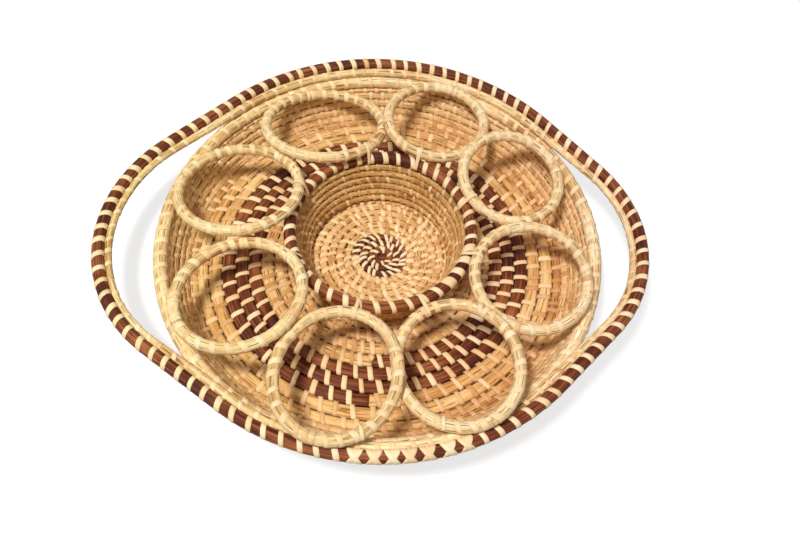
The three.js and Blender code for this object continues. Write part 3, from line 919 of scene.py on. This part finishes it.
ovalLines = [ovalPlace(oval) for oval in ring["ovals"]]
for i, (oval, place) in enumerate(zip(ring["ovals"], ovalLines)):
    turned = seatOf(oval).to_3x3()
    stations = []
    for k in range(ring["steps"]):
        angle = fullTurn * k / ring["steps"]
        out = Vector((oval["across"] * math.cos(angle), oval["along"] * math.sin(angle), 0))
        stations.append(Station(place(angle), (turned @ out).normalized(), turned @ zAxis,
                                ring["coilRadius"], ring["coilRadius"]))
    line = CoilLine(stations, spacing=2.6, square=2.0, closed=True)
    count = round(line.length / ring["stitchSpacing"])
    spots = evenSpots(line, {**ringStitch, "count": count})
    name = f"compartment_ring_{i + 1}"
    windCoil(f"{name}_winding", line, spots, roundSkin, "straw", [name])
    sewStrips(f"{name}_stitches", line, spots, ringStitch)

for i, place in enumerate(ovalLines):
    bm, *layers = newMesh()
    meet = meeting(levelPlace(bowlRimPlace), place)  # over the bowl's rim and round the ring
    rimReach, ringReach = [stripReach(radius, meet["turn"])
                           for radius in (bowl["rimRadius"], ring["coilRadius"])]
    slope = math.atan2(meet["across"].z, meet["high"].z)
    touch, start = math.acos((rimReach - ringReach) / meet["gap"]), lashing["rimStart"] - slope
    path = arcPath(0, rimReach, start, touch)
    path = path if start > touch + lashing["leastArc"] else path[-1:]
    path += arcPath(meet["gap"], ringReach, touch, lashing["ringEnd"] - slope)
    lash(bm, layers, path, meet, False, lashing)

    meet = meeting(levelPlace(edgePlace), place)  # from the wall round the ring
    reach = stripReach(ring["coilRadius"], meet["turn"])
    path = [((lashing["wallEnd"], reach), (0, 1))]
    path += arcPath(meet["gap"], reach, quarterTurn, -quarterTurn)
    lash(bm, layers, path, meet, False, lashing)

    # Ring to ring: a loop round each of the two coils, drawn together between them
    meet = meeting(place, ovalLines[(i + 1) % len(ovalLines)])
    reach = stripReach(ring["coilRadius"], meet["turn"])
    between = meet["gap"] / 2
    drawn = max(math.acos(min(reach / between, 1.0)), lashing["leastOpening"])
    path = arcPath(0, reach, drawn, fullTurn - drawn) + [((between, 0), (1, 0))]
    lash(bm, layers, path, meet, True, pairLashing)
    path = arcPath(meet["gap"], reach, drawn - math.pi, math.pi - drawn) + [((between, 0), (-1, 0))]
    lash(bm, layers, path, meet, True, pairLashing)
    finishPiece(bm, f"ring_{i + 1}_lashings", "palm",
                [f"ring_{kind}_lashing_{i + 1}" for kind in ("bowl", "wall", "pair")])
print("rings made")

# Camera and lights
view = {
    "place": (8.88, -360.97, 575.03), "lens": 31.5, "sensor": 36, "clip": (0.01, 20),
    "right": (0.99843, 0.03119, 0.04659), "up": (-0.05101, 0.85026, 0.52389),
    "back": (-0.02327, -0.52544, 0.85051),
}
camera = bpy.data.objects.new("camera", bpy.data.cameras.new("camera"))
camera.data.lens, camera.data.sensor_width = view["lens"], view["sensor"]
camera.data.clip_start, camera.data.clip_end = view["clip"]
turned = Matrix((view["right"], view["up"], view["back"])).transposed().to_4x4()
camera.matrix_world = Matrix.Translation(Vector(view["place"]) * mm) @ turned
bpy.context.scene.collection.objects.link(camera)
bpy.context.scene.camera = camera

lights = {  # places in metres
    "key": {"place": (-0.42, -0.42, 1.65), "size": 0.24, "power": 26, "colour": (1.0, 0.98, 0.95)},
    "fill": {"place": (0.35, 0.1, 1.9), "size": 2.4, "power": 8, "colour": (1.0, 0.98, 0.96)},
}
for name, look in lights.items():
    lamp = bpy.data.lights.new(name, "AREA")
    lamp.size, lamp.energy, lamp.color = look["size"], look["power"], look["colour"]
    holder = bpy.data.objects.new(name, lamp)
    holder.location = look["place"]
    holder.rotation_euler = (-Vector(look["place"])).to_track_quat("-Z", "Y").to_euler()
    bpy.context.scene.collection.objects.link(holder)
print("camera and lights made")

# White backdrop: the world and the table
backdrop = {
    "worldLight": 0.18, "tableLight": 0.72, "tableColour": (0.34, 0.34, 0.34), "tableRough": 0.9,
    "tableSize": 6, "white": (1.0, 1.0, 1.0),
}


def backgroundRays(paint):  # 1 for a ray that shows the background, 0 for one that gathers light
    kinds = ("Is Camera Ray", "Is Glossy Ray", "Is Transmission Ray")
    seen, glossy, through = [paint.add("ShaderNodeLightPath", {}, {}, kind) for kind in kinds]
    return seen + glossy + through


paint = Paint(bpy.data.worlds.new("studio"), "Background")
strength = paint.rescale(backgroundRays(paint), 0.0, 1.0, backdrop["worldLight"], 1.0)
bpy.context.scene.world = paint.finish(Color=backdrop["white"], Strength=strength)

bm = bmesh.new()
bmesh.ops.create_grid(bm, x_segments=1, y_segments=1, size=backdrop["tableSize"])
mesh = bpy.data.meshes.new("table")
bm.to_mesh(mesh)
bm.free()
table = bpy.data.objects.new("table", mesh)
bpy.context.scene.collection.objects.link(table)
paint = Paint(bpy.data.materials.new("whiteTable"))
mesh.materials.append(paint.finish(
    Base_Color=backdrop["tableColour"], Roughness=backdrop["tableRough"],
    Emission_Color=backdrop["white"],
    Emission_Strength=backgroundRays(paint) * backdrop["tableLight"]))
bpy.context.scene.view_settings.view_transform = "Standard"
print("backdrop made")
